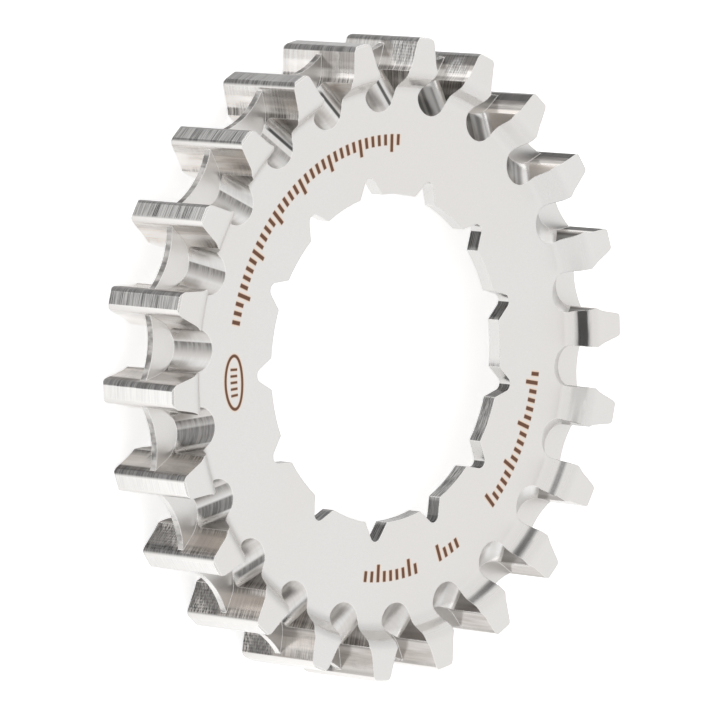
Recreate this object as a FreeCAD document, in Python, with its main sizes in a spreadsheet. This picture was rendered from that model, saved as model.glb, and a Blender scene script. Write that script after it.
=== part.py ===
import FreeCAD, Part
import math
import os
import Sketcher

# Belt sprocket for a bicycle belt drive, machined from one plate of stainless steel.
# Frame: axis of rotation on +Z, underside tooth ends on Z = 0, front face up.
# Teeth stand on the Y axis and tooth gaps on the X axis. Millimetres.

doc = FreeCAD.newDocument("belt_drive_sprocket")

sizes = [
    # belt side
    ("tooth_count", 22, "teeth round the rim"),
    ("belt_pitch", 11.0, "tooth spacing along the belt's pitch line"),
    ("pitch_line_lift", 0.565, "pitch line above the tooth tips"),
    ("rim_width", 11.7, "length of a tooth along the axis"),
    ("gullet_depth", 5.15, "tooth tip down to the gullet floor"),
    ("gullet_radius", 3.26, "round floor of a gullet"),
    ("flank_angle", 20.5, "flank lean from the gap's centre line"),
    ("corner_radius", 1.0, "rounded corner of a tooth tip"),
    ("corner_rise", 0.03, "top of the corner arc above the tip circle"),
    ("tip_bevel", 0.2, "bevel on the end edge of a tooth tip"),
    # centre guide fin
    ("fin_thickness", 0.9, "guide fin at mid width"),
    ("fin_drop", 1.9, "tooth tip down to the fin's low point"),
    ("fin_scallop_radius", 9.5, "hollow of the fin's edge between teeth"),
    # rim ramps and disc
    ("face_recess", 2.73, "tooth ends down to the disc face"),
    ("tooth_end_depth", 3.35, "tooth tip in to the top of the ramp"),
    ("ramp_crown", 2.0, "round top of the ramp"),
    ("ramp_angle", 33.0, "lean of the ramp's steep part from the axis"),
    ("ramp_fillet", 1.9, "fillet at the foot of the ramp"),
    ("web_thickness", 1.8, "disc thickness round the bore"),
    ("back_rim_depth", 9.95, "tooth tip in to the edge of the back pocket"),
    ("back_wall_angle", 5.0, "draft of the back pocket's wall"),
    ("back_fillet", 1.5, "fillet between that wall and the web"),
    # mud ports
    ("port_radius", 2.45, "half width and round floor of a port"),
    ("port_mouth_depth", 8.85, "tooth tip in to the port's floor at the disc face"),
    ("port_floor_drop", 0.15, "port floor below the gullet floor at the fin"),
    ("port_end_depth", 1.9, "tooth tip in to the port's open end"),
    # splined bore
    ("bore_radius", 19.4, "inner face of a spline land"),
    ("notch_count", 13, "spline notches"),
    ("notch_bottom_radius", 21.65, "axis to the bottom of a notch"),
    ("notch_round", 0.85, "round bottom of a notch"),
    ("notch_flank_angle", 30.0, "lean of a notch flank from its centre line"),
    # room that the cutting profiles run past the blank
    ("overrun", 3.0, "tooth gap profile past the tip circle"),
    ("bore_overrun", 1.2, "notch profile into the bore"),
]

sheet = doc.addObject("Spreadsheet::Sheet", "Sizes")
v = {}
for row, (name, value, note) in enumerate(sizes, start=1):
    sheet.set("A%d" % row, name)
    sheet.set("B%d" % row, repr(value))
    sheet.set("C%d" % row, note)
    sheet.setAlias("B%d" % row, name)
    v[name] = value
doc.recompute()

# Derived lengths as expressions of the sheet, used by more than one feature
TIP_R = "(Sizes.tooth_count * Sizes.belt_pitch / (2 * pi) - Sizes.pitch_line_lift)"
FLOOR_R = "(" + TIP_R + " - Sizes.gullet_depth)"
FACE_Z = "(Sizes.rim_width - Sizes.face_recess)"
GAP_W = "((Sizes.rim_width - Sizes.fin_thickness) / 2)"
MOUTH_R = "(" + TIP_R + " - Sizes.port_mouth_depth + Sizes.port_radius)"
FIN_PORT_R = "(" + FLOOR_R + " - Sizes.port_floor_drop + Sizes.port_radius)"
PORT_SLOPE = "((" + FIN_PORT_R + " - " + MOUTH_R + ") / (" + GAP_W + " - Sizes.face_recess))"
OPEN_PORT_R = "(" + MOUTH_R + " - " + PORT_SLOPE + " * Sizes.face_recess)"

# The same lengths as numbers: every sketch is drawn at its solved shape
tip_r = v["tooth_count"] * v["belt_pitch"] / (2 * math.pi) - v["pitch_line_lift"]
floor_r = tip_r - v["gullet_depth"]
face_z = v["rim_width"] - v["face_recess"]
gap_w = (v["rim_width"] - v["fin_thickness"]) / 2
mouth_r = tip_r - v["port_mouth_depth"] + v["port_radius"]
fin_port_r = floor_r - v["port_floor_drop"] + v["port_radius"]
port_slope = (fin_port_r - mouth_r) / (gap_w - v["face_recess"])
open_port_r = mouth_r - port_slope * v["face_recess"]

body = doc.addObject("PartDesign::Body", "BeltSprocket")
body.Label = "belt_sprocket"
planes = {p.Role: p for p in body.Origin.OriginFeatures}

# The sketcher's codes for a curve's start, end and centre, for the origin and for the axes
START, END, MID = 1, 2, 3
ROOT = (-1, 1)
X_AXIS, Y_AXIS = -1, -2


def vec(x, y):
    return FreeCAD.Vector(x, y, 0)


def along(p, angle, length):
    """The point at a distance from p, angle in radians."""
    return (p[0] + math.cos(angle) * length, p[1] + math.sin(angle) * length)


def flip(p):
    """Mirror image of p about the sketch's X axis."""
    return (p[0], -p[1])


def new_sketch(name, plane, lift=None):
    """A sketch on an origin plane of the body, raised along its normal by an expression."""
    sk = body.newObject("Sketcher::SketchObject", name)
    sk.AttachmentSupport = [(planes[plane], "")]
    sk.MapMode = "FlatFace"
    if lift:
        sk.setExpression("AttachmentOffset.Base.z", lift)
    doc.recompute()
    return sk


def add(sk, kind, *args):
    return sk.addConstraint(Sketcher.Constraint(kind, *args))


def bind(sk, expression, kind, *args):
    """Add a dimension and drive it by an expression of the sheet."""
    index = add(sk, kind, *args)
    sk.setExpression("Constraints[%d]" % index, expression)
    return index


def line(sk, p, q, construction=False):
    return sk.addGeometry(Part.LineSegment(vec(*p), vec(*q)), construction)


def arc(sk, c, r, a0, a1, construction=False):
    """Arc round c, counter-clockwise from a0 to a1 in radians."""
    circle = Part.Circle(vec(*c), FreeCAD.Vector(0, 0, 1), r)
    return sk.addGeometry(Part.ArcOfCircle(circle, a0, a1), construction)


def chain(sk, *pairs):
    """Join the end of the first curve of each pair to the start of the second."""
    for first, second in pairs:
        add(sk, "Coincident", first, END, second, START)


# Blank: section of the disc, rim, ramps and back pocket, turned round Z
section = new_sketch("BlankSection", "XZ_Plane")
rim_w = v["rim_width"]
recess = v["face_recess"]
web_z = face_z - v["web_thickness"]
end_r = tip_r - v["tooth_end_depth"]
bevel_r = tip_r - v["tip_bevel"]
steep = math.radians(90 - v["ramp_angle"])
crown_r = end_r - v["ramp_crown"] * math.sin(steep)
crown_drop = v["ramp_crown"] * (1 - math.cos(steep))
foot_r = crown_r - (recess - crown_drop) / math.tan(steep)
foot_cut = v["ramp_fillet"] * math.tan(steep / 2)
back_r = tip_r - v["back_rim_depth"]
wall_up = math.radians(90 + v["back_wall_angle"])
wall_top_r = back_r + (web_z - recess) / math.tan(wall_up)
wall_cut = v["back_fillet"] * math.tan((math.pi - wall_up) / 2)

p_web_in = (v["bore_radius"], web_z)
p_face_in = (v["bore_radius"], face_z)
p_foot = (foot_r - foot_cut, face_z)
p_foot_up = along((foot_r, face_z), steep, foot_cut)
p_crown = (crown_r, rim_w - crown_drop)
p_end = (end_r, rim_w)
p_bevel = (bevel_r, rim_w)
p_tip = (tip_r, rim_w - v["tip_bevel"])
p_tip2 = (tip_r, v["tip_bevel"])
p_bevel2 = (bevel_r, 0)
p_end2 = (end_r, 0)
p_crown2 = (crown_r, crown_drop)
p_foot2_up = along((foot_r, recess), -steep, foot_cut)
p_foot2 = (foot_r - foot_cut, recess)
p_back = (back_r, recess)
p_wall = along((wall_top_r, web_z), wall_up + math.pi, wall_cut)
p_web_out = (wall_top_r - wall_cut, web_z)

bore_line = line(section, p_web_in, p_face_in)
face_line = line(section, p_face_in, p_foot)
foot_arc = arc(section, (p_foot[0], face_z + v["ramp_fillet"]), v["ramp_fillet"],
               -math.pi / 2, steep - math.pi / 2)
steep_line = line(section, p_foot_up, p_crown)
crown_arc = arc(section, (end_r, rim_w - v["ramp_crown"]), v["ramp_crown"],
                math.pi / 2, math.pi / 2 + steep)
end_line = line(section, p_end, p_bevel)
bevel_line = line(section, p_bevel, p_tip)
tip_line = line(section, p_tip, p_tip2)
bevel_line2 = line(section, p_tip2, p_bevel2)
end_line2 = line(section, p_bevel2, p_end2)
crown_arc2 = arc(section, (end_r, v["ramp_crown"]), v["ramp_crown"],
                 3 * math.pi / 2 - steep, 3 * math.pi / 2)
steep_line2 = line(section, p_crown2, p_foot2_up)
foot_arc2 = arc(section, (p_foot2[0], recess - v["ramp_fillet"]), v["ramp_fillet"],
                math.pi / 2 - steep, math.pi / 2)
back_line = line(section, p_foot2, p_back)
wall_line = line(section, p_back, p_wall)
wall_arc = arc(section, (p_web_out[0], web_z - v["back_fillet"]), v["back_fillet"],
               wall_up - math.pi / 2, math.pi / 2)
web_line = line(section, p_web_out, p_web_in)

chain(section, (bore_line, face_line), (end_line, bevel_line), (bevel_line, tip_line),
      (tip_line, bevel_line2), (bevel_line2, end_line2), (back_line, wall_line),
      (web_line, bore_line))
add(section, "Tangent", face_line, END, foot_arc, START)
add(section, "Tangent", foot_arc, END, steep_line, START)
add(section, "Tangent", steep_line, END, crown_arc, END)
add(section, "Tangent", crown_arc, START, end_line, START)
add(section, "Tangent", end_line2, END, crown_arc2, END)
add(section, "Tangent", crown_arc2, START, steep_line2, START)
add(section, "Tangent", steep_line2, END, foot_arc2, START)
add(section, "Tangent", foot_arc2, END, back_line, START)
add(section, "Tangent", wall_line, END, wall_arc, START)
add(section, "Tangent", wall_arc, END, web_line, START)
for flat in (face_line, end_line, end_line2, back_line, web_line):
    add(section, "Horizontal", flat)
for upright in (bore_line, tip_line):
    add(section, "Vertical", upright)
bind(section, "Sizes.bore_radius", "DistanceX", *ROOT, bore_line, START, p_web_in[0])
bind(section, FACE_Z, "DistanceY", *ROOT, bore_line, END, face_z)
bind(section, "Sizes.web_thickness", "DistanceY", bore_line, START, bore_line, END, v["web_thickness"])
bind(section, "Sizes.ramp_fillet", "Radius", foot_arc, v["ramp_fillet"])
bind(section, "Sizes.ramp_fillet", "Radius", foot_arc2, v["ramp_fillet"])
bind(section, "Sizes.back_fillet", "Radius", wall_arc, v["back_fillet"])
bind(section, "(90 - Sizes.ramp_angle) * 1deg", "Angle", steep_line, steep)
bind(section, TIP_R + " - Sizes.tooth_end_depth", "DistanceX", *ROOT, end_line, START, end_r)
bind(section, "Sizes.rim_width", "DistanceY", *ROOT, end_line, START, rim_w)
bind(section, "Sizes.ramp_crown", "Radius", crown_arc, v["ramp_crown"])
bind(section, "Sizes.tip_bevel", "DistanceX", bevel_line, START, bevel_line, END, v["tip_bevel"])
bind(section, "Sizes.tip_bevel", "DistanceY", bevel_line, END, bevel_line, START, v["tip_bevel"])
bind(section, TIP_R, "DistanceX", *ROOT, tip_line, START, tip_r)
bind(section, "Sizes.tip_bevel", "DistanceY", *ROOT, tip_line, END, v["tip_bevel"])
bind(section, "Sizes.tip_bevel", "DistanceX", bevel_line2, END, bevel_line2, START, v["tip_bevel"])
add(section, "PointOnObject", end_line2, START, X_AXIS)
bind(section, TIP_R + " - Sizes.tooth_end_depth", "DistanceX", *ROOT, end_line2, END, end_r)
bind(section, "Sizes.ramp_crown", "Radius", crown_arc2, v["ramp_crown"])
add(section, "Vertical", foot_arc, MID, foot_arc2, MID)
bind(section, "Sizes.face_recess", "DistanceY", *ROOT, back_line, START, recess)
bind(section, TIP_R + " - Sizes.back_rim_depth", "DistanceX", *ROOT, back_line, END, back_r)
bind(section, "(90 + Sizes.back_wall_angle) * 1deg", "Angle", wall_line, wall_up)
doc.recompute()

blank = body.newObject("PartDesign::Revolution", "Blank")
blank.Profile = section
blank.ReferenceAxis = (section, ["V_Axis"])
blank.Angle = 360
doc.recompute()

# One tooth gap, solved: its flank line, corner arc and the fin's hollow edge
lean = math.radians(v["flank_angle"])
gullet_c = (floor_r + v["gullet_radius"], 0)
touch = along(gullet_c, lean + math.pi / 2, v["gullet_radius"])
corner_r = v["corner_radius"]
corner_reach = tip_r + v["corner_rise"] - corner_r
side = along(touch, lean + math.pi / 2, corner_r)
half = side[0] * math.cos(lean) + side[1] * math.sin(lean)
run = math.sqrt(half * half - side[0] ** 2 - side[1] ** 2 + corner_reach ** 2) - half
corner_c = along(side, lean, run)
flank_top = along(touch, lean, run)
tilt = math.atan2(corner_c[1], corner_c[0])
crest = along(corner_c, tilt, corner_r)
outer_x = tip_r + v["overrun"]
hollow_r = v["fin_scallop_radius"]
hollow_c = (tip_r - v["fin_drop"] + hollow_r, 0)
gap = math.hypot(corner_c[0] - hollow_c[0], corner_c[1])
reach = (hollow_r ** 2 - corner_r ** 2 + gap ** 2) / (2 * gap)
rise = math.sqrt(hollow_r ** 2 - reach ** 2)
toward = math.atan2(corner_c[1], corner_c[0] - hollow_c[0])
meet = along(along(hollow_c, toward, reach), toward + math.pi / 2, rise)


def direction(p, q):
    """Angle in radians from p to q."""
    return math.atan2(q[1] - p[1], q[0] - p[0])


def corners_and_mouth(sk, inner_angle):
    """Both rounded tooth corners of a gap and the lines that close its profile outside the tips.
    The corner arcs start at inner_angle. Returns the two arcs."""
    up = arc(sk, corner_c, corner_r, inner_angle, tilt)
    out_up = line(sk, crest, (outer_x, crest[1]))
    mouth = line(sk, (outer_x, crest[1]), (outer_x, -crest[1]))
    out_down = line(sk, (outer_x, -crest[1]), flip(crest))
    down = arc(sk, flip(corner_c), corner_r, -tilt, -inner_angle)
    radial = line(sk, (0, 0), crest, True)
    chain(sk, (up, out_up), (out_up, mouth), (mouth, out_down), (out_down, down))
    add(sk, "Coincident", radial, START, *ROOT)
    add(sk, "Coincident", radial, END, up, END)
    add(sk, "PointOnObject", up, MID, radial)
    bind(sk, "Sizes.corner_radius", "Radius", up, corner_r)
    bind(sk, TIP_R + " + Sizes.corner_rise - Sizes.corner_radius", "Distance", *ROOT, up, MID, corner_reach)
    add(sk, "Equal", up, down)
    add(sk, "Horizontal", out_up)
    add(sk, "Horizontal", out_down)
    add(sk, "Vertical", mouth)
    add(sk, "Equal", out_up, out_down)
    bind(sk, TIP_R + " + Sizes.overrun", "DistanceX", *ROOT, mouth, START, outer_x)
    return up, down


def gullet_round(sk, a0, a1, construction=False):
    """The round floor of a gullet, held by its radius and its place on the X axis."""
    floor = arc(sk, gullet_c, v["gullet_radius"], a0, a1, construction)
    add(sk, "PointOnObject", floor, MID, X_AXIS)
    bind(sk, "Sizes.gullet_radius", "Radius", floor, v["gullet_radius"])
    bind(sk, FLOOR_R + " + Sizes.gullet_radius", "DistanceX", *ROOT, floor, MID, gullet_c[0])
    return floor


def gullet_profile(name, lift):
    """A tooth gap beside the fin: round floor, straight flanks, rounded tooth corners."""
    sk = new_sketch(name, "XY_Plane", lift)
    floor = gullet_round(sk, math.pi / 2 + lean, 3 * math.pi / 2 - lean)
    flank = line(sk, touch, flank_top)
    up, down = corners_and_mouth(sk, lean - math.pi / 2)
    flank2 = line(sk, flip(flank_top), flip(touch))
    add(sk, "Tangent", floor, START, flank, START)
    bind(sk, "Sizes.flank_angle * 1deg", "Angle", flank, lean)
    add(sk, "Tangent", flank, END, up, START)
    add(sk, "Tangent", down, END, flank2, START)
    add(sk, "Tangent", flank2, END, floor, END)
    add(sk, "Symmetric", flank, END, flank2, START, X_AXIS)
    doc.recompute()
    return sk


def fin_profile(name, lift):
    """A tooth gap at the fin: hollow edge of the fin between the two rounded tooth corners."""
    sk = new_sketch(name, "XY_Plane", lift)
    meet_angle = direction(hollow_c, meet)
    hollow = arc(sk, hollow_c, hollow_r, meet_angle, 2 * math.pi - meet_angle)
    up, down = corners_and_mouth(sk, direction(corner_c, meet))
    floor = gullet_round(sk, math.pi / 2 + lean, math.pi, True)
    flank = line(sk, touch, along(touch, lean, (tip_r - touch[0]) / math.cos(lean)), True)
    add(sk, "PointOnObject", floor, END, X_AXIS)
    add(sk, "Tangent", floor, START, flank, START)
    bind(sk, "Sizes.flank_angle * 1deg", "Angle", flank, lean)
    bind(sk, TIP_R, "DistanceX", *ROOT, flank, END, tip_r)
    add(sk, "Tangent", flank, up)
    add(sk, "PointOnObject", hollow, MID, X_AXIS)
    bind(sk, "Sizes.fin_scallop_radius", "Radius", hollow, hollow_r)
    bind(sk, TIP_R + " - Sizes.fin_drop + Sizes.fin_scallop_radius", "DistanceX", *ROOT,
         hollow, MID, hollow_c[0])
    add(sk, "Coincident", hollow, START, up, START)
    add(sk, "Coincident", hollow, END, down, END)
    add(sk, "Symmetric", up, MID, down, MID, X_AXIS)
    doc.recompute()
    return sk


def pocket(name, sketch, length):
    """Cut the sketch's profile toward -Z, to a length or right through."""
    cut = body.newObject("PartDesign::Pocket", name)
    cut.Profile = sketch
    if length:
        cut.Type = 0
        cut.setExpression("Length", length)
    else:
        cut.Type = 1
    doc.recompute()
    return cut


def ring(name, feature, count):
    """Repeat a cut round the Z axis."""
    pattern = body.newObject("PartDesign::PolarPattern", name)
    pattern.Originals = [feature]
    pattern.Axis = (planes["Z_Axis"], [""])
    pattern.Angle = 360
    pattern.setExpression("Occurrences", count)
    body.Tip = pattern
    doc.recompute()
    return pattern


# Teeth: gap cut in three layers, so that the guide fin stays at mid width
front_gap = pocket("FrontGap", gullet_profile("FrontGapProfile", "Sizes.rim_width"), GAP_W)
ring("FrontGaps", front_gap, "Sizes.tooth_count")
fin_gap = pocket("FinGap", fin_profile("FinGapProfile", GAP_W + " + Sizes.fin_thickness"),
                 "Sizes.fin_thickness")
ring("FinGaps", fin_gap, "Sizes.tooth_count")
back_gap = pocket("BackGap", gullet_profile("BackGapProfile", GAP_W), GAP_W)
ring("BackGaps", back_gap, "Sizes.tooth_count")


def port_section(name, lift, radius_expression, centre):
    """Section of a mud port: a round floor and two parallel sides, open outward."""
    sk = new_sketch(name, "XY_Plane", lift)
    r = v["port_radius"]
    open_x = tip_r - v["port_end_depth"]
    floor = arc(sk, (centre, 0), r, math.pi / 2, 3 * math.pi / 2)
    bottom = line(sk, (centre, -r), (open_x, -r))
    outer = line(sk, (open_x, -r), (open_x, r))
    top = line(sk, (open_x, r), (centre, r))
    add(sk, "Tangent", floor, END, bottom, START)
    add(sk, "Tangent", top, END, floor, START)
    chain(sk, (bottom, outer), (outer, top))
    add(sk, "Horizontal", bottom)
    add(sk, "Horizontal", top)
    add(sk, "Vertical", outer)
    add(sk, "PointOnObject", floor, MID, X_AXIS)
    bind(sk, "Sizes.port_radius", "Radius", floor, r)
    bind(sk, radius_expression, "DistanceX", *ROOT, floor, MID, centre)
    bind(sk, TIP_R + " - Sizes.port_end_depth", "DistanceX", *ROOT, outer, START, open_x)
    doc.recompute()
    return sk


def port(name, open_lift, fin_lift):
    """A slanted port from the open side of the rim down to the fin."""
    wide = port_section(name + "Open", open_lift, OPEN_PORT_R, open_port_r)
    deep = port_section(name + "Fin", fin_lift, FIN_PORT_R, fin_port_r)
    cut = body.newObject("PartDesign::SubtractiveLoft", name)
    cut.Profile = wide
    cut.Sections = [deep]
    cut.Ruled = True
    doc.recompute()
    return cut


# Mud ports: one on each side of the fin in every gap
front_port = port("FrontPort", "Sizes.rim_width", GAP_W + " + Sizes.fin_thickness")
ring("FrontPorts", front_port, "Sizes.tooth_count")
back_port = port("BackPort", None, GAP_W)
ring("BackPorts", back_port, "Sizes.tooth_count")

# Spline notch on -Y: two straight flanks on a round bottom, open to the bore
notch = new_sketch("NotchProfile", "XY_Plane", FACE_Z)
half_v = math.radians(v["notch_flank_angle"])
nr = v["notch_round"]
notch_c = (0, nr - v["notch_bottom_radius"])
inner_y = v["bore_overrun"] - v["bore_radius"]
touch_n = along(notch_c, -half_v, nr)
spread = touch_n[0] + (inner_y - touch_n[1]) * math.tan(half_v)
bottom = arc(notch, notch_c, nr, math.pi + half_v, 2 * math.pi - half_v)
right = line(notch, touch_n, (spread, inner_y))
inner = line(notch, (spread, inner_y), (-spread, inner_y))
left = line(notch, (-spread, inner_y), (-touch_n[0], touch_n[1]))
add(notch, "Tangent", bottom, END, right, START)
add(notch, "Tangent", left, END, bottom, START)
chain(notch, (right, inner), (inner, left))
add(notch, "Symmetric", inner, START, inner, END, Y_AXIS)
add(notch, "PointOnObject", bottom, MID, Y_AXIS)
bind(notch, "Sizes.notch_round", "Radius", bottom, nr)
bind(notch, "Sizes.notch_bottom_radius - Sizes.notch_round", "DistanceY", bottom, MID, *ROOT, -notch_c[1])
bind(notch, "Sizes.bore_radius - Sizes.bore_overrun", "DistanceY", inner, START, *ROOT, -inner_y)
bind(notch, "(90 - Sizes.notch_flank_angle) * 1deg", "Angle", right, math.pi / 2 - half_v)
doc.recompute()
notch_cut = pocket("Notch", notch, None)
ring("Notches", notch_cut, "Sizes.notch_count")

doc.recompute()
for obj in doc.Objects:
    if "Invalid" in obj.State or "Error" in obj.State:
        raise RuntimeError("%s is %s" % (obj.Name, obj.State))
solid = body.Shape
if solid.isNull() or not solid.isValid() or len(solid.Solids) != 1:
    raise RuntimeError("belt_sprocket isn't one valid solid")

os.makedirs("parts", exist_ok=True)
for node in (body,):
    node.Shape.exportStep("parts/" + node.Label + ".step")
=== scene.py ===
from types import SimpleNamespace

import bpy
import numpy as np
from mathutils import Matrix, Vector

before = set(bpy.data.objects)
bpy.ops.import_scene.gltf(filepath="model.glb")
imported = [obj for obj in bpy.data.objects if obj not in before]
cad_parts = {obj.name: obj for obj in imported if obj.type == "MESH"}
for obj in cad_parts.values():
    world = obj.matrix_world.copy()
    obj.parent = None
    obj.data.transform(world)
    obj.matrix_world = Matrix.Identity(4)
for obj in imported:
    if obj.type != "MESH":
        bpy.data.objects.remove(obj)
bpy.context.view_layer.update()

# Sizes of the sprocket, in millimetres. Heights are above the back ends of the teeth. The two
# radii turn an angle into a length round the tips and round the bore
TEETH = 22
TIP_RADIUS = 37.0
BORE_RADIUS = 20.0
FIN_HEIGHT = 5.85
# Height of the painted reflection band on the ramps
PAINTED_RAMP_BAND_HEIGHT = 10.31
JUST_BELOW_DISC_FRONT = 8.5
MM_PER_METRE = 1000.0

# One tooth, as an angle round the axis
TOOTH_ANGLE = 2 * np.pi / TEETH

# The burnt-in scale: angles in teeth clockwise from the tooth on +Y, lengths in millimetres
SCALE_ARCS = ((16.8925, 21.9675), (5.5825, 8.0475), (8.9175, 9.4975), (9.9325, 11.2375))
STROKE_STEP = 0.145
SCALE_OUTER_RADIUS = 26.45
STROKE_INNER_RADIUS = 25.15
FIFTH_STROKE_INNER_RADIUS = 24.35
OVAL_TURN = 16.02
OVAL_RADIUS = 25.5
OVAL_HALF_LENGTH = 3.1
OVAL_HALF_WIDTH = 1.35
OVAL_STROKE_STEP = 0.75

# Line widths of the oval and of the strokes in it, as shares of the scale's
OVAL_RING_SHARE = 0.75
OVAL_STROKE_SHARE = 0.6

# Finish of the marks: the burnt line, and the brown tint round it. Widths are in millimetres
INK = (0.13, 0.048, 0.017, 1)
HALO = (0.84, 0.54, 0.33, 1)
INK_EDGE, INK_HALF_WIDTH = 0.07, 0.24
HALO_EDGE, HALO_HALF_WIDTH = 0.17, 0.37

# Lengths in metres, and how often the satin's grain and clouds change in a metre
BROKEN_EDGE = 0.00016
GRAIN_DEPTH = 0.00003
FLOOR_SIDE = 6.0
GRAINS_PER_METRE = 5200.0
CLOUDS_PER_METRE = 55.0

# Dark openings of the white tent: bearing from +X, height above the horizon, radius of the dark
# middle and of the rim, all in degrees, and the light that is left in the opening
TENT_OPENINGS = ((-176, 34, 6, 24, 0.76), (-164, 19, 9, 21, 0.02),
                 (105, 2, 10, 27, 0.42), (27, 6, 18, 31, 0.80))

scene = bpy.context.scene
scene.view_settings.view_transform = "Standard"


# Camera: a long lens about 46 degrees off the sprocket's axis

def aim_camera():
    """The camera stands where the photographer's did: its axes are the picture's right, the
    picture's up, and the way back from the sprocket to the lens."""
    data = bpy.data.cameras.new("photo_camera")
    data.sensor_fit = "HORIZONTAL"
    data.sensor_width = 36.0
    data.lens = 355.2
    data.clip_start = 0.05
    data.clip_end = 20.0
    camera = bpy.data.objects.new("photo_camera", data)
    scene.collection.objects.link(camera)
    right = (0.69417, 0.06871, 0.71652)
    up = (-0.02717, 0.99723, -0.06931)
    back = (-0.71930, 0.02864, 0.69411)
    place = (-0.60375, 0.02356, 0.58708)
    camera.matrix_world = Matrix([(right[i], up[i], back[i], place[i]) for i in range(3)]
                                 + [(0, 0, 0, 1)])
    scene.camera = camera


aim_camera()


# Small helpers for shader nodes

class Nodes:
    """Builds nodes in one tree. Values may be numbers or sockets."""

    def __init__(self, tree):
        self.tree = tree

    def new(self, kind, **settings):
        node = self.tree.nodes.new(kind)
        for name, value in settings.items():
            setattr(node, name, value)
        return node

    def put(self, socket, value):
        if isinstance(value, bpy.types.NodeSocket):
            self.tree.links.new(value, socket)
        else:
            socket.default_value = value

    def math(self, operation, a, b=0.0, c=0.0):
        node = self.new("ShaderNodeMath", operation=operation)
        for socket, value in zip(node.inputs, (a, b, c)):
            self.put(socket, value)
        return node.outputs[0]

    def add(self, a, b):
        return self.math("ADD", a, b)

    def sub(self, a, b):
        return self.math("SUBTRACT", a, b)

    def mul(self, a, b):
        return self.math("MULTIPLY", a, b)

    def div(self, a, b):
        return self.math("DIVIDE", a, b)

    def size(self, value):
        """The value without its sign."""
        return self.math("ABSOLUTE", value)

    def both(self, first, *others):
        """The product of some masks: 1 where all of them are 1."""
        for mask in others:
            first = self.mul(first, mask)
        return first

    def either(self, a, b):
        """The greater of two masks."""
        return self.math("MAXIMUM", a, b)

    def ramp(self, value, low, high, out_low=0.0, out_high=1.0):
        """Smooth step of value from low to high."""
        node = self.new("ShaderNodeMapRange", interpolation_type="SMOOTHSTEP")
        for name, number in (("Value", value), ("From Min", low), ("From Max", high),
                             ("To Min", out_low), ("To Max", out_high)):
            self.put(node.inputs[name], number)
        return node.outputs[0]

    def mix(self, factor, a, b):
        """Colour mix: a where factor is 0, b where it is 1."""
        node = self.new("ShaderNodeMix", data_type="RGBA")
        self.put(node.inputs[0], factor)
        self.put(node.inputs[6], a)
        self.put(node.inputs[7], b)
        return node.outputs[2]

    def blend(self, factor, a, b):
        """Number mix: a where factor is 0, b where it is 1."""
        node = self.new("ShaderNodeMix", data_type="FLOAT")
        self.put(node.inputs[0], factor)
        self.put(node.inputs[2], a)
        self.put(node.inputs[3], b)
        return node.outputs[0]

    def coat(self, base, mask, share, finish):
        """Colour mix: finish over base, as strong as the mask times the share."""
        return self.mix(self.mul(mask, share), base, finish)

    def vector(self, x, y, z):
        node = self.new("ShaderNodeCombineXYZ")
        for socket, value in zip(node.inputs, (x, y, z)):
            self.put(socket, value)
        return node.outputs[0]

    def noise(self, vector, scale, detail, roughness):
        node = self.new("ShaderNodeTexNoise")
        self.put(node.inputs["Vector"], vector)
        node.inputs["Scale"].default_value = scale
        node.inputs["Detail"].default_value = detail
        node.inputs["Roughness"].default_value = roughness
        return node.outputs["Fac"]

    def streaks(self, a, a_rate, b, b_rate, seed, detail, roughness):
        """Noise over two measures a and b. The measure with the lower rate is the one that the
        streaks run along."""
        vector = self.vector(self.mul(a, a_rate), self.mul(b, b_rate), seed)
        return self.noise(vector, 1.0, detail, roughness)

    def group(self, tree, **values):
        node = self.new("ShaderNodeGroup")
        node.node_tree = tree
        for name, value in values.items():
            self.put(node.inputs[name], value)
        return node


def new_group(name, inputs, outputs):
    """A shader node group with named float inputs and outputs."""
    tree = bpy.data.node_groups.new(name, "ShaderNodeTree")
    for label in inputs:
        tree.interface.new_socket(name=label, in_out="INPUT", socket_type="NodeSocketFloat")
    for label in outputs:
        tree.interface.new_socket(name=label, in_out="OUTPUT", socket_type="NodeSocketFloat")
    n = Nodes(tree)
    start = n.new("NodeGroupInput")
    end = n.new("NodeGroupOutput")
    return tree, n, start, end


def place_group():
    """Where a point of the sprocket is, in millimetres and in teeth, and which way it faces.

    Radius is the distance from the axis. Turn is the angle clockwise from the tooth on +Y, in
    teeth. Across is the distance from the middle line of the nearest tooth gap. Out, Along and
    Up are the parts of the normal that point away from the axis, clockwise, and along it. North
    is its part on +Y."""
    tree, n, start, end = new_group("place on the sprocket", [],
                                    ["Radius", "Turn", "Height", "Across", "Out", "Along", "Up",
                                     "North"])
    coords = n.new("ShaderNodeTexCoord")
    p = n.new("ShaderNodeSeparateXYZ")
    n.put(p.inputs[0], coords.outputs["Object"])
    face = n.new("ShaderNodeSeparateXYZ")
    n.put(face.inputs[0], coords.outputs["Normal"])
    x, y, z = [n.mul(p.outputs[i], MM_PER_METRE) for i in range(3)]
    radius = n.math("SQRT", n.add(n.mul(x, x), n.mul(y, y)))
    turn = n.mul(n.math("ARCTAN2", x, y), 1 / TOOTH_ANGLE)
    gap = n.sub(n.math("FRACT", turn), 0.5)
    across = n.mul(radius, n.math("SINE", n.mul(gap, TOOTH_ANGLE)))
    nx, ny, nz = face.outputs
    out = n.div(n.add(n.mul(x, nx), n.mul(y, ny)), radius)
    along = n.div(n.sub(n.mul(y, nx), n.mul(x, ny)), radius)
    for label, value in (("Radius", radius), ("Turn", turn), ("Height", z), ("Across", across),
                         ("Out", out), ("Along", along), ("Up", nz), ("North", ny)):
        n.put(end.inputs[label], value)
    return tree


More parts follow.
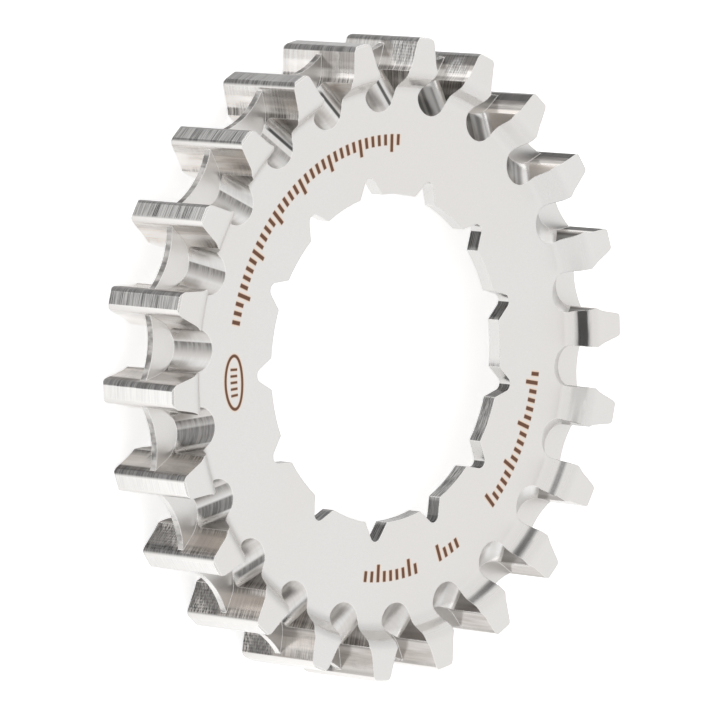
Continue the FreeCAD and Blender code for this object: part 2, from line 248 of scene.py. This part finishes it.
def tool_lines_group():
    """Marks that a cutting edge leaves. They run across Position, in millimetres, and change
    slowly along Run. Fine is the closest spacing of the lines, Wide the broad bands that they
    gather in. Both are noise drawn out along Run, made sharper with a smooth step."""
    tree, n, start, end = new_group("tool lines", ["Position", "Run", "Seed"], ["Fine", "Wide"])
    position, run, seed = start.outputs[:3]
    fine = n.streaks(position, 5.0, run, 0.20, seed, detail=3.0, roughness=0.7)
    wide = n.streaks(position, 0.8, run, 0.10, n.add(seed, 7.3), detail=2.0, roughness=0.5)
    n.put(end.inputs["Fine"], n.ramp(fine, 0.38, 0.62))
    n.put(end.inputs["Wide"], n.ramp(wide, 0.38, 0.62))
    return tree


def chatter_group():
    """Short dashes that a vibrating cutter leaves, in patches of a few millimetres.

    A noise that is drawn out along Run gives the dashes. A sine of Run, 0.36 mm long, sets them
    in faint rows along Position. Dash is 0 on a dark dash; Patch is where the dashes show."""
    tree, n, start, end = new_group("chatter", ["Position", "Run", "Seed"], ["Dash", "Patch"])
    position, run, seed = start.outputs[:3]
    row_length = 0.36
    bend = n.streaks(position, 0.4, run, 0.4, seed, detail=1.0, roughness=0.4)
    row = n.math("SINE", n.add(n.mul(run, 2 * np.pi / row_length), n.mul(bend, 4.0)))
    cut = n.streaks(position, 7.0, run, 1.4, n.add(seed, 2.1), detail=2.0, roughness=0.6)
    n.put(end.inputs["Dash"], n.ramp(n.add(cut, n.mul(row, 0.04)), 0.30, 0.66))
    patch = n.streaks(position, 0.30, run, 0.30, n.add(seed, 4.7), detail=1.0, roughness=0.4)
    n.put(end.inputs["Patch"], n.ramp(patch, 0.46, 0.64))
    return tree


def scale_strokes(n, radius, turn):
    """Distance from the nearest stroke of the scale, the radius where that stroke starts, and a
    mask of the arcs that carry strokes. Every fifth stroke is longer."""
    count = n.div(turn, STROKE_STEP)
    nearest = n.math("ROUND", count)
    offset = n.size(n.mul(n.mul(n.sub(count, nearest), STROKE_STEP * TOOTH_ANGLE), radius))
    fifth = n.math("COMPARE", n.math("FLOORED_MODULO", nearest, 5.0), 0.0, 0.1)
    inner = n.blend(fifth, STROKE_INNER_RADIUS, FIFTH_STROKE_INNER_RADIUS)
    arcs = None
    for low, high in SCALE_ARCS:
        inside = n.mul(n.math("GREATER_THAN", turn, low), n.math("LESS_THAN", turn, high))
        arcs = inside if arcs is None else n.either(arcs, inside)
    return offset, inner, arcs


def oval_strokes(n, radius, turn):
    """Distance from the oval ring, distance from the nearest stroke in it, and a mask of the room
    for those strokes.

    An oval's level is 1 on the ring. The distance is how far the level is from 1, divided by the
    level's slope, which keeps the ring as wide at its ends as at its sides."""
    sideways = n.mul(n.sub(turn, OVAL_TURN), OVAL_RADIUS * TOOTH_ANGLE)
    outward = n.sub(radius, OVAL_RADIUS)
    a = n.div(sideways, OVAL_HALF_LENGTH)
    b = n.div(outward, OVAL_HALF_WIDTH)
    level = n.math("SQRT", n.add(n.mul(a, a), n.mul(b, b)))
    a = n.div(a, OVAL_HALF_LENGTH)
    b = n.div(b, OVAL_HALF_WIDTH)
    slope = n.div(n.math("SQRT", n.add(n.mul(a, a), n.mul(b, b))), level)
    ring = n.size(n.div(n.sub(level, 1.0), slope))
    count = n.div(sideways, OVAL_STROKE_STEP)
    stroke = n.size(n.mul(n.sub(count, n.math("ROUND", count)), OVAL_STROKE_STEP))
    room = n.mul(n.ramp(n.size(sideways), 1.95, 1.85), n.ramp(n.size(outward), 0.60, 0.50))
    return ring, stroke, room


def scale_marks_group():
    """A plain scale burnt into the disc with a laser: strokes along four arcs of a ring, and an
    oval ring with five strokes in it.

    Turn is wrapped from 0 to 22. A stroke is a narrow band round each step of the angle, cut off
    at the inner and outer radius of the scale. Ink is the burnt line, Halo the tint round it."""
    tree, n, start, end = new_group("laser scale", ["Radius", "Turn"], ["Ink", "Halo"])
    radius = start.outputs[0]
    turn = n.math("FLOORED_MODULO", start.outputs[1], float(TEETH))
    offset, inner, arcs = scale_strokes(n, radius, turn)
    ring, stroke, room = oval_strokes(n, radius, turn)
    for label, soft, half in (("Ink", INK_EDGE, INK_HALF_WIDTH),
                              ("Halo", HALO_EDGE, HALO_HALF_WIDTH)):
        line = n.ramp(offset, half + soft, half - soft)
        low = n.ramp(n.sub(radius, inner), -soft, soft)
        high = n.ramp(radius, SCALE_OUTER_RADIUS + soft, SCALE_OUTER_RADIUS - soft)
        scale = n.both(line, arcs, low, high)
        ring_half, stroke_half = half * OVAL_RING_SHARE, half * OVAL_STROKE_SHARE
        oval = n.ramp(ring, ring_half + soft, ring_half - soft)
        in_oval = n.mul(n.ramp(stroke, stroke_half + soft, stroke_half - soft), room)
        n.put(end.inputs[label], n.either(scale, n.either(oval, in_oval)))
    return tree


PLACE = place_group()
TOOL_LINES = tool_lines_group()
CHATTER = chatter_group()
LASER_SCALE = scale_marks_group()


# Steel: what the finish goes by. In the comments, o'clock is as seen from the front

def grey(level, warm=0.0):
    """A steel colour of the given level; warm shifts it to brown."""
    return (level, level * (0.985 - 0.07 * warm), level * (0.965 - 0.12 * warm), 1.0)


def zone(n, at, **limits):
    """A mask of the points whose measures are within the limits.

    Each measure has the value where its mask is 0 and the value where it is 1. Two more numbers
    say where it starts to fade and where it is 0 again. The mask is the product of these smooth
    steps."""
    steps = []
    for measure, numbers in limits.items():
        value = getattr(at, measure)
        steps.append(n.ramp(value, numbers[0], numbers[1]))
        if len(numbers) == 4:
            steps.append(n.ramp(value, numbers[3], numbers[2]))
    return n.both(*steps)


def near_tooth(n, at, turn, edge, full):
    """A mask of the teeth about an angle, given in teeth clockwise from +Y: the smooth step from
    edge to full of the cosine of the angle between."""
    return n.ramp(n.math("COSINE", n.mul(n.sub(at.turn, turn), TOOTH_ANGLE)), edge, full)


def read_place(n):
    """The measures of a point, the masks of the cut surfaces and the marks of each tool.

    Level is 1 where the surface faces up or down and 0 where it stands upright. From_fin is the
    distance from the fin's middle. Pushed is 1 on the flanks that face clockwise, which the
    cutter pushed against, and forward is 1 in front of the fin. Half_tooth counts gaps and
    teeth, so that each has marks of its own."""
    at = SimpleNamespace()
    (at.radius, at.turn, at.height, at.across,
     at.out, at.along, at.up, at.north) = n.group(PLACE).outputs
    at.level = n.size(at.up)
    at.from_fin = n.size(n.sub(at.height, FIN_HEIGHT))

    # Cut surfaces
    at.flat = zone(n, at, level=(0.94, 0.985))
    at.wall = zone(n, at, level=(0.12, 0.04))
    at.land = n.mul(zone(n, at, radius=(37.3, 37.6), out=(0.93, 0.97)), at.wall)
    at.corner = n.mul(zone(n, at, radius=(36.9, 37.1), out=(0.38, 0.50)), at.wall)
    at.bore = n.mul(zone(n, at, radius=(22.2, 21.9)), n.sub(1.0, at.flat))
    at.port = zone(n, at, radius=(28.0, 28.6, 32.7, 33.3), up=(0.93, 0.85), out=(-0.12, 0.02))
    at.fin_edge = zone(n, at, from_fin=(0.55, 0.45), out=(0.5, 0.7), radius=(37.5, 37.2))
    at.fin_edge = n.mul(at.fin_edge, at.wall)
    at.pushed = zone(n, at, along=(0.2, 0.6))
    at.forward = zone(n, at, height=(5.6, 6.2))

    # Tool marks. Turned tips, milled flanks, a cutter that slid down ports and gap floors, and a
    # broach in the bore
    at.arc = n.mul(at.turn, TIP_RADIUS * TOOTH_ANGLE)
    half_tooth = n.math("ROUND", n.mul(at.turn, 2.0))
    turned = n.group(TOOL_LINES, Position=n.mul(at.height, 1.6), Run=at.arc,
                     Seed=n.mul(n.math("ROUND", at.turn), 5.0))
    milled = n.group(TOOL_LINES, Position=at.radius, Run=at.height, Seed=half_tooth)
    slid = n.group(TOOL_LINES, Position=at.height, Run=at.across,
                   Seed=n.math("FLOOR", at.turn))
    broached = n.group(TOOL_LINES, Position=n.mul(at.height, 1.5),
                       Run=n.mul(at.turn, 2 * BORE_RADIUS * TOOTH_ANGLE), Seed=1.0)
    chatter = n.group(CHATTER, Position=at.height, Run=at.radius, Seed=n.mul(half_tooth, 3.1))
    at.turned, at.turned_wide = turned.outputs
    at.slid = slid.outputs["Fine"]
    at.broached = broached.outputs["Fine"]
    at.dash, at.patch = chatter.outputs
    floor_part = zone(n, at, out=(0.35, 0.75))
    at.fine = n.blend(floor_part, milled.outputs["Fine"], slid.outputs["Fine"])
    at.wide = n.blend(floor_part, milled.outputs["Wide"], slid.outputs["Wide"])

    # Grain of the satin
    coords = n.new("ShaderNodeTexCoord")
    at.grain = n.noise(coords.outputs["Object"], GRAINS_PER_METRE, detail=2.0, roughness=0.6)
    at.cloud = n.noise(coords.outputs["Object"], CLOUDS_PER_METRE, detail=2.0, roughness=0.5)
    return at


# Steel: the finish of each cut surface

def satin_steel(n, at):
    """Disc, tooth ends and ramps: a fine even grain. On the ramps of the lower right teeth a dark
    band half way down is a painted reflection."""
    grain = zone(n, at, grain=(0.25, 0.75))
    satin = n.mix(grain, grey(0.722), grey(0.752))
    satin = n.mix(n.ramp(at.cloud, 0.3, 0.7, 0.0, 0.45), satin, grey(0.725, 0.35))
    # Painted reflection: a dark band across the ramps of the lower right teeth
    line = n.ramp(n.size(n.sub(at.height, PAINTED_RAMP_BAND_HEIGHT)), 0.50, 0.10)
    line = n.both(line, near_tooth(n, at, 8.0, 0.80, 0.97), zone(n, at, radius=(35.6, 35.4)))
    return n.coat(satin, line, 0.75, n.mix(grain, grey(0.12), grey(0.22)))


def tip_steel(n, at):
    """Land and corners of a tooth tip: turned lines, with painted shade making them dark where
    they face +Y and painted light making them plain and bright where they face -Y."""
    # Painted light and shade: tips facing +Y are painted dark, tips facing -Y bright
    striped = n.mul(n.ramp(at.north, -0.20, 0.05), n.ramp(at.north, 0.90, 0.50, 0.35, 1.0))
    shaded_land = n.mix(at.turned, grey(0.04), grey(0.42))
    shaded_land = n.coat(shaded_land, at.turned_wide, 0.40, grey(0.55))
    shaded_land = n.mix(striped, grey(0.22), shaded_land)
    lit_land = n.mix(at.turned, grey(0.66), grey(0.76))
    land = n.mix(zone(n, at, north=(-0.14, 0.06)), lit_land, shaded_land)
    shaded_corner = n.mix(at.turned, grey(0.09), grey(0.24))
    corner = n.mix(zone(n, at, north=(-0.16, 0.26)), grey(0.72, 0.1), shaded_corner)
    return land, corner


def flank_base(n, at):
    """Smooth warm steel with its tool lines, with painted light where it faces -Y and painted
    shade where it faces +Y; darker on the pushed flanks."""
    # Painted light on flanks facing -Y; the shaded copy below is painted shade for those facing
    # +Y
    lit_steel = n.mix(at.fine, grey(0.66, 0.7), grey(0.80, 0.5))
    lit_steel = n.coat(lit_steel, at.wide, 0.85, grey(0.98))
    pushed = n.mix(at.fine, grey(0.36, 0.9), grey(0.42, 0.8))
    pushed = n.coat(pushed, at.wide, 0.8, grey(0.52, 0.4))
    pushed = n.mix(n.ramp(at.north, 0.0, 0.4, 0.0, 0.6), pushed, grey(0.62, 0.8))
    lit_steel = n.mix(at.pushed, lit_steel, pushed)
    shaded_steel = n.mix(at.fine, grey(0.34, 0.7), grey(0.46, 0.7))
    shaded_steel = n.coat(shaded_steel, at.wide, n.ramp(at.north, 0.5, 0.7, 0.7, 0.3), grey(0.62, 0.8))
    shaded_steel = n.coat(shaded_steel, at.pushed, 0.5, grey(0.62, 0.8))
    return n.mix(zone(n, at, north=(0.0, 0.5)), lit_steel, shaded_steel)


def upper_left_flanks(n, at, flank):
    """Flanks that face anticlockwise, from half past ten to one o'clock: painted pale as light,
    with a painted grey reflection band under the tip in front of the fin and painted shade by the
    root."""
    here = zone(n, at, along=(-0.2, -0.6), north=(-0.42, -0.28, 0.60, 0.80))
    flank = n.coat(flank, here, 0.8, n.mix(at.slid, grey(0.78, 0.3), grey(0.92)))
    painted_grey_band = n.both(zone(n, at, radius=(35.2, 35.7)), at.forward, here)
    flank = n.coat(flank, painted_grey_band, 0.9, n.mix(at.slid, grey(0.30, 0.9), grey(0.40, 0.8)))
    root_shade_band = n.ramp(at.radius, n.blend(at.forward, 35.0, 34.7), n.blend(at.forward, 34.7, 34.3))
    root_shade_band = n.mul(root_shade_band, here)
    return n.coat(flank, root_shade_band, 0.85, n.mix(at.slid, grey(0.05, 0.6), grey(0.42, 0.6)))


def edge_lines(n, at):
    """Masks of the painted shade lines, one by the tip and one in the root's crease, strongest on
    the flanks that face +Y. The tip's line starts at a radius that changes with the way the flank
    faces, and on pushed flanks with the height."""
    far_start = n.ramp(at.north, 0.3, 0.9, 36.1, 35.3)
    tip_start = n.blend(at.pushed, far_start, n.ramp(at.height, 5.6, 6.4, 36.45, 36.72))
    tip_shade_line = n.ramp(n.sub(at.radius, tip_start), 0.0, 0.4)
    tip_shade_line = n.mul(tip_shade_line, n.ramp(at.north, 0.0, 0.6, 0.25, 1.0))
    root_shade_line = n.mul(zone(n, at, radius=(34.1, 33.3)), n.ramp(at.north, -0.3, 0.5, 0.05, 0.9))
    pushed_root_shade = n.both(zone(n, at, radius=(34.4, 34.1)), at.pushed, 0.5)
    return tip_shade_line, n.either(root_shade_line, pushed_root_shade)


def upper_right_flanks(n, at, flank):
    """Flanks about one o'clock: a painted grey reflection in the middle, a painted pale highlight
    at the root and painted shade in the crease at the gap's floor."""
    here = near_tooth(n, at, 2.2, 0.925, 0.965)
    grey_reflection_band = n.mul(here, zone(n, at, radius=(34.6, 34.9, 36.1, 36.4)))
    flank = n.coat(flank, grey_reflection_band, 0.75, n.mix(at.fine, grey(0.20, 0.6), grey(0.36, 0.5)))
    pale_root_highlight = n.mul(here, zone(n, at, radius=(34.8, 34.5), out=(0.88, 0.62)))
    flank = n.coat(flank, pale_root_highlight, 0.8, grey(0.74, 0.9))
    crease_shade = zone(n, at, out=(0.64, 0.80, 0.95, 0.985), radius=(34.5, 34.2))
    crease_shade = n.mul(crease_shade, near_tooth(n, at, 2.5, 0.84, 0.93))
    return n.coat(flank, crease_shade, 0.85, grey(0.05, 0.6))


def chatter_rows(n, at, flank):
    """Rows of dashes in patches, fainter on pushed flanks in front of the fin, and painted shade
    with dashes on pushed flanks behind it."""
    rows = n.mul(at.patch, zone(n, at, from_fin=(0.7, 2.2), north=(-0.5, -0.2),
                                radius=(34.2, 35.0)))
    rows = n.mul(rows, n.either(at.pushed, zone(n, at, north=(0.62, 0.42))))
    rows = n.mul(rows, n.blend(n.mul(at.pushed, zone(n, at, height=(5.3, 6.0))), 0.85, 0.35))
    cut = n.blend(at.pushed, n.mul(n.add(at.dash, at.slid), 0.5), at.dash)
    dashes = n.mix(cut, n.mix(at.pushed, grey(0.06), grey(0.04)),
                   n.mix(at.pushed, grey(0.66), grey(0.46)))
    flank = n.mix(rows, flank, dashes)
    behind_shade = n.mul(at.pushed, zone(n, at, height=(5.3, 4.6), north=(0.85, 0.55)))
    shade = n.mix(at.patch, grey(0.20), grey(0.52, 0.4))
    shade = n.mix(at.dash, grey(0.04), shade)
    return n.coat(flank, behind_shade, 0.85, shade)


def lower_left_flanks(n, at, flank):
    """Pushed flanks from half past six to nine o'clock: painted shade as dark hems by root and
    tip, and a warm centre. On the flanks that face anticlockwise, all down the left side, painted
    shade darkens them towards the tooth's front end."""
    here = n.both(at.pushed, zone(n, at, north=(-0.05, 0.15, 0.70, 0.85)), at.forward)
    root_and_tip_shade = n.either(zone(n, at, radius=(34.8, 34.4)), zone(n, at, radius=(36.3, 36.5)))
    flank = n.coat(flank, n.mul(here, root_and_tip_shade), 0.55,
                   n.mix(at.slid, grey(0.10, 0.6), grey(0.56, 0.6)))
    centre = zone(n, at, radius=(34.7, 35.1, 36.1, 36.4))
    flank = n.coat(flank, n.mul(here, centre), 0.7,
                   n.mix(at.slid, grey(0.62, 1.0), grey(0.76, 0.8)))
    # Painted shade towards the front end of the anticlockwise flanks on the left
    front = zone(n, at, along=(-0.4, -0.7), north=(-0.35, -0.55), height=(7.0, 11.3),
                 radius=(36.2, 34.3))
    return n.coat(flank, front, 0.8, n.mix(at.slid, grey(0.10, 0.8), grey(0.36, 0.8)))


def flank_steel(n, at, tip_shade_line, root_shade_line):
    """Flanks and floors of the tooth gaps, with what differs round the sprocket laid over the
    base in turn. Last come the pushed flanks from nine to half past ten, which are painted pale
    as light."""
    flank = upper_left_flanks(n, at, flank_base(n, at))
    # Painted shade: the dark line by the tip, then the dark line in the root's crease
    flank = n.coat(flank, tip_shade_line, n.blend(at.turned, 1.0, 0.7), grey(0.05))
    flank = n.mix(root_shade_line, flank, grey(0.10, 0.5))
    flank = upper_right_flanks(n, at, flank)
    flank = chatter_rows(n, at, flank)
    flank = lower_left_flanks(n, at, flank)
    # Painted light: pushed flanks facing +Y are made pale
    lit_pushed_flanks = n.both(at.pushed, zone(n, at, north=(0.72, 0.92)),
                 n.ramp(at.height, 4.0, 6.5, 0.25, 0.85))
    return n.mix(lit_pushed_flanks, flank, n.mix(at.wide, grey(0.55, 0.7), grey(0.90, 0.3)))


def port_steel(n, at):
    """Mud ports: glossy, with faint lines across the slide, and painted shade making them greyer
    towards three o'clock. On the left and at the top a painted shade band runs down each port."""
    bands = n.streaks(at.across, 0.9, at.turn, 3.7, 0.0, detail=1.0, roughness=0.4)
    port = n.mix(n.ramp(bands, 0.36, 0.60), grey(0.70, 0.3), grey(0.80))
    port = n.coat(port, at.slid, 0.14, grey(0.44, 0.2))
    # Painted shade: ports greyer towards three o'clock
    port = n.coat(port, near_tooth(n, at, 5.5, -0.2, 0.8), 0.5, grey(0.45))

    # Ports about nine o'clock: the painted shade band is broad
    shade_band = n.mul(zone(n, at, across=(-0.9, 0.9, 0.90, 1.05)),
                 near_tooth(n, at, -5.0, 0.55, 0.85))
    port = n.coat(port, shade_band, 0.9, n.mix(at.slid, grey(0.15, 0.5), grey(0.34, 0.4)))

    # Ports about eight o'clock: the painted shade band moves across from one port to the next
    shade_band_place = n.add(n.mul(at.turn, 0.6), 3.9)
    shade_band = n.both(n.ramp(n.sub(at.across, shade_band_place), 0.1, -0.2),
                  zone(n, at, across=(-2.1, -1.9)), near_tooth(n, at, -7.6, 0.88, 0.97))
    port = n.coat(port, shade_band, 0.85, n.mix(at.slid, grey(0.06, 0.5), grey(0.22, 0.4)))

    # Ports about half past eleven: the painted shade band is a thin line
    shade_band = n.mul(n.ramp(n.size(n.sub(at.across, 1.75)), 0.24, 0.08),
                 near_tooth(n, at, -1.0, 0.80, 0.93))
    port = n.coat(port, shade_band, 0.9, grey(0.03))

    # Ports about one o'clock: painted shade darkens the inner end
    inner_end = n.mul(near_tooth(n, at, 1.4, 0.86, 0.96), zone(n, at, up=(0.55, 0.72)))
    inner_end_shade = n.mix(n.ramp(bands, 0.40, 0.56), grey(0.10, 0.6), grey(0.30, 0.3))
    return n.coat(port, inner_end, 0.9, inner_end_shade)


def fin_steel(n, at):
    """Edge of the guide fin: small nicks, painted dark as shade, and painted bright as light
    where it faces -Y.
    """
    nicks = n.streaks(at.arc, 0.8, at.height, 0.3, 3.0, detail=2.0, roughness=0.6)
    fin = n.mix(n.ramp(nicks, 0.35, 0.65), grey(0.17, 0.3), grey(0.46, 0.2))
    return n.mix(zone(n, at, north=(-0.35, -0.75)), fin, grey(0.74))


def bore_steel(n, at):
    """Bore: broached streaks in painted shade, deeper painted shade in the notches, painted light
    where it faces -Y.
    """
    land = n.mix(at.broached, grey(0.09, 0.2), grey(0.36))
    notch_shade = n.mix(at.broached, grey(0.03, 0.2), grey(0.17))
    shaded_steel = n.mix(zone(n, at, radius=(19.5, 19.9)), land, notch_shade)
    return n.mix(zone(n, at, north=(-0.04, 0.06)), grey(0.65), shaded_steel)


def steel_roughness(n, at, tip_shade_line, root_shade_line):
    """Glossy on steep walls, satin on level faces, roughest along the painted shade lines by tip
    and root.
    """
    rough = n.blend(zone(n, at, level=(0.50, 1.0)), 0.20, 0.34)
    rough_shade_lines = n.both(n.either(tip_shade_line, root_shade_line), at.wall, zone(n, at, north=(0.3, 0.8)))
    rough = n.blend(rough_shade_lines, rough, 0.60)
    rough = n.blend(n.either(at.land, at.corner), rough, 0.30)
    rough = n.blend(at.port, rough, 0.28)
    return n.blend(at.bore, rough, 0.26)


def steel_material():
    """Stainless steel: a satin front, turned tooth tips, milled gaps and ports, a broached bore.

    Walls facing -Y are painted bright and smooth as light, and walls facing +Y are painted dark
    with the lines of their cutter as shade."""
    material = bpy.data.materials.new("machined_steel")
    material.use_nodes = True
    tree = material.node_tree
    n = Nodes(tree)
    shader = tree.nodes["Principled BSDF"]
    at = read_place(n)
    tip_shade_line, root_shade_line = edge_lines(n, at)
    land, corner = tip_steel(n, at)
    colour = n.mix(at.wall, satin_steel(n, at), flank_steel(n, at, tip_shade_line, root_shade_line))
    colour = n.mix(at.port, colour, port_steel(n, at))
    colour = n.mix(at.corner, colour, corner)
    colour = n.mix(at.land, colour, land)
    colour = n.mix(at.fin_edge, colour, fin_steel(n, at))
    colour = n.mix(at.bore, colour, bore_steel(n, at))
    rough = steel_roughness(n, at, tip_shade_line, root_shade_line)

    # Painted highlight along broken edges: where the rounded normal leaves the true one, the
    # colour is made near white
    rounded = n.new("ShaderNodeBevel", samples=4)
    rounded.inputs["Radius"].default_value = BROKEN_EDGE
    true = n.new("ShaderNodeNewGeometry")
    agreement = n.new("ShaderNodeVectorMath", operation="DOT_PRODUCT")
    n.put(agreement.inputs[0], rounded.outputs[0])
    n.put(agreement.inputs[1], true.outputs["Normal"])
    edge = n.ramp(agreement.outputs["Value"], 0.995, 0.93)
    colour = n.coat(colour, edge, 0.85, grey(0.98))

    # Laser marks, on the disc's front only
    marks = n.group(LASER_SCALE, Radius=at.radius, Turn=at.turn)
    front = n.mul(n.math("GREATER_THAN", at.up, 0.9),
                  n.math("GREATER_THAN", at.height, JUST_BELOW_DISC_FRONT))
    ink = n.mul(marks.outputs["Ink"], front)
    halo = n.mul(marks.outputs["Halo"], front)
    colour = n.coat(colour, halo, 0.6, HALO)
    colour = n.mix(ink, colour, INK)
    n.put(shader.inputs["Base Color"], colour)
    n.put(shader.inputs["Roughness"], n.blend(ink, rough, 0.5))
    n.put(shader.inputs["Metallic"], n.blend(ink, 1.0, 0.1))

    # Relief: the satin's grain
    bump = n.new("ShaderNodeBump")
    bump.inputs["Strength"].default_value = 0.35
    bump.inputs["Distance"].default_value = GRAIN_DEPTH
    n.put(bump.inputs["Height"], n.both(at.grain, at.flat, 0.25))
    n.put(bump.inputs["Normal"], rounded.outputs[0])
    n.put(shader.inputs["Normal"], bump.outputs[0])
    return material


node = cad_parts["belt_sprocket"]
steel = steel_material()
for slot in node.material_slots:
    slot.material = steel


# Floor and light

def level_square(name, side):
    """A square sheet on the ground, centred on the axis."""
    corners = [(x * side / 2, y * side / 2, 0.0) for x, y in ((-1, -1), (1, -1), (1, 1), (-1, 1))]
    mesh = bpy.data.meshes.new(name)
    mesh.from_pydata(corners, [], [(0, 1, 2, 3)])
    sheet = bpy.data.objects.new(name, mesh)
    scene.collection.objects.link(sheet)
    return sheet


def floor_material():
    """Pale floor. The camera and the steel see it a little lighter, so that it ends in white."""
    material = bpy.data.materials.new("pale_floor")
    material.use_nodes = True
    n = Nodes(material.node_tree)
    shader = material.node_tree.nodes["Principled BSDF"]
    shader.inputs["Base Color"].default_value = (0.93, 0.93, 0.93, 1)
    shader.inputs["Roughness"].default_value = 0.9
    shader.inputs["Specular IOR Level"].default_value = 0.0
    path = n.new("ShaderNodeLightPath")
    seen = n.either(path.outputs["Is Camera Ray"], path.outputs["Is Glossy Ray"])
    seen = n.either(seen, path.outputs["Is Transmission Ray"])
    n.put(shader.inputs["Emission Strength"], n.mul(seen, 0.53))
    shader.inputs["Emission Color"].default_value = (1, 1, 1, 1)
    return material


floor = level_square("floor", FLOOR_SIDE)
floor.data.materials.append(floor_material())


def soft_box(name, place, side, power):
    """A square area lamp aimed at the sprocket."""
    data = bpy.data.lights.new(name, "AREA")
    data.shape = "SQUARE"
    data.size = side
    data.energy = power
    lamp = bpy.data.objects.new(name, data)
    scene.collection.objects.link(lamp)
    lamp.location = place
    lamp.rotation_euler = (Vector((0, 0, 0)) - Vector(place)).to_track_quat("-Z", "Y").to_euler()


soft_box("key_box", place=(0.50, -0.10, 0.62), side=0.7, power=0.10)


def studio_world():
    """A white tent with dark openings: two on the photographer's side, and two low ones.

    The light of a direction is white, less a soft round patch about each opening. A patch is a
    smooth step of the cosine between the direction and the opening's middle."""
    world = bpy.data.worlds.new("studio")
    scene.world = world
    world.use_nodes = True
    n = Nodes(world.node_tree)
    backdrop = world.node_tree.nodes["Background"]
    coords = n.new("ShaderNodeTexCoord")
    light = 1.0
    for *angles, left in TENT_OPENINGS:
        bearing, rise, core, rim = np.radians(angles)
        cosine = n.new("ShaderNodeVectorMath", operation="DOT_PRODUCT")
        n.put(cosine.inputs[0], coords.outputs["Generated"])
        cosine.inputs[1].default_value = (np.cos(rise) * np.cos(bearing),
                                          np.cos(rise) * np.sin(bearing), np.sin(rise))
        patch = n.ramp(cosine.outputs["Value"], np.cos(rim), np.cos(core))
        light = n.blend(patch, light, left)
    n.put(backdrop.inputs["Strength"], light)
    backdrop.inputs["Color"].default_value = (1.0, 1.0, 1.0, 1)


studio_world()
